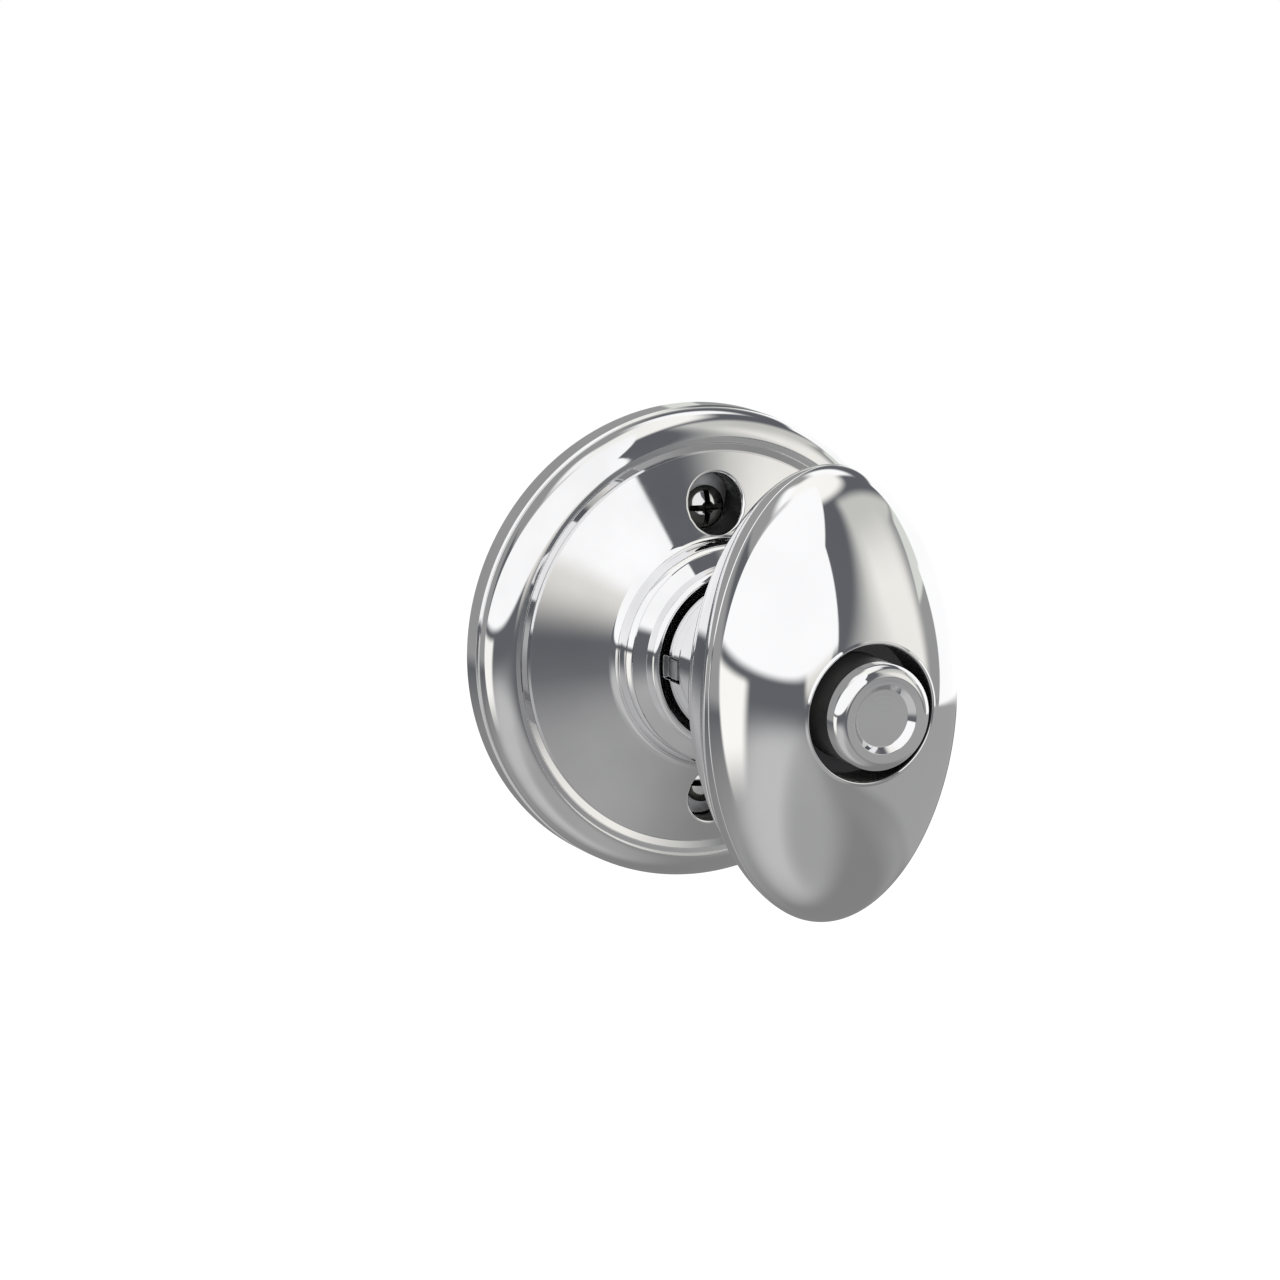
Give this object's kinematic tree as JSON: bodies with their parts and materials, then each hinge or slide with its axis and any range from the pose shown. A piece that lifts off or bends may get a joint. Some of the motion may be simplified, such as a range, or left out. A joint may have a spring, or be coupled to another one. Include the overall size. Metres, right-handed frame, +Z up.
{
  "type": "privacy door knob, interior half",
  "caption": "Interior half of a push-button privacy door knob: oval sprung knob on a stepped round rosette with two exposed screws.",
  "frame": {"origin": "on the knob's axis in the plane of the door face, where the rosette's rim rests", "axes": "-Y out of the door along the knob's axis into the room, +Y into the door along the screws, +Z up"},
  "size_m": [0.065, 0.0909, 0.065],
  "materials": {
    "rose_chrome": "bright polished chrome plate on formed brass",
    "knob_chrome": "bright polished chrome plate on brass shells",
    "shank_chrome": "bright chrome plate on drawn tube",
    "button_chrome": "bright polished chrome plate on turned brass",
    "screw_chrome": "chrome plated steel screw",
    "plate_steel": "zinc plated pressed steel",
    "hub_steel": "zinc plated turned steel",
    "rivet_steel": "plain steel",
    "bar_steel": "zinc plated strip steel",
    "catch_steel": "bright zinc plated sintered steel",
    "spring_steel": "oil tempered spring steel",
    "washer_brass": "plain brass",
    "bushing_nylon": "black nylon",
    "guide_plastic": "black acetal"
  },
  "bodies": {
    "rose": {"rosette": "rose_chrome", "mounting_plate": "plate_steel", "spring_cage": "plate_steel", "cage_rivets": "rivet_steel", "return_spring": "spring_steel", "neck_bushing": "bushing_nylon", "upper_screw": "screw_chrome", "lower_screw": "screw_chrome"},
    "knob": {"knob_front": "knob_chrome", "knob_back": "knob_chrome", "knob_shank": "shank_chrome", "button_guide": "guide_plastic", "drive_hub": "hub_steel", "spring_driver": "hub_steel", "thrust_washer": "washer_brass", "hub_retaining_ring": "spring_steel", "stem_guide": "guide_plastic", "detent_clip": "spring_steel", "button_spring": "spring_steel", "catch_spring": "spring_steel"},
    "button": {"push_button": "button_chrome", "button_stem": "hub_steel", "locking_bar": "bar_steel", "stem_clip": "spring_steel"},
    "catch": {"knob_catch": "catch_steel"}
  },
  "joints": [
    {"name": "knob_turn", "type": "hinge", "parent": "rose", "child": "knob", "pos_m": [0, 0, 0], "axis": [0, 1, 0], "range_deg": [-60, 60], "stiffness_Nm_per_rad": 0.25, "deforming": ["return_spring"]},
    {"name": "button_push", "type": "slide", "parent": "knob", "child": "button", "axis": [0, 1, 0], "range_m": [0, 0.0035], "stiffness_N_per_m": 400, "deforming": ["button_spring"]},
    {"name": "catch_press", "type": "slide", "parent": "knob", "child": "catch", "axis": [1, 0, 0], "range_m": [0, 0.0016], "stiffness_N_per_m": 400, "deforming": ["catch_spring"]}
  ]
}
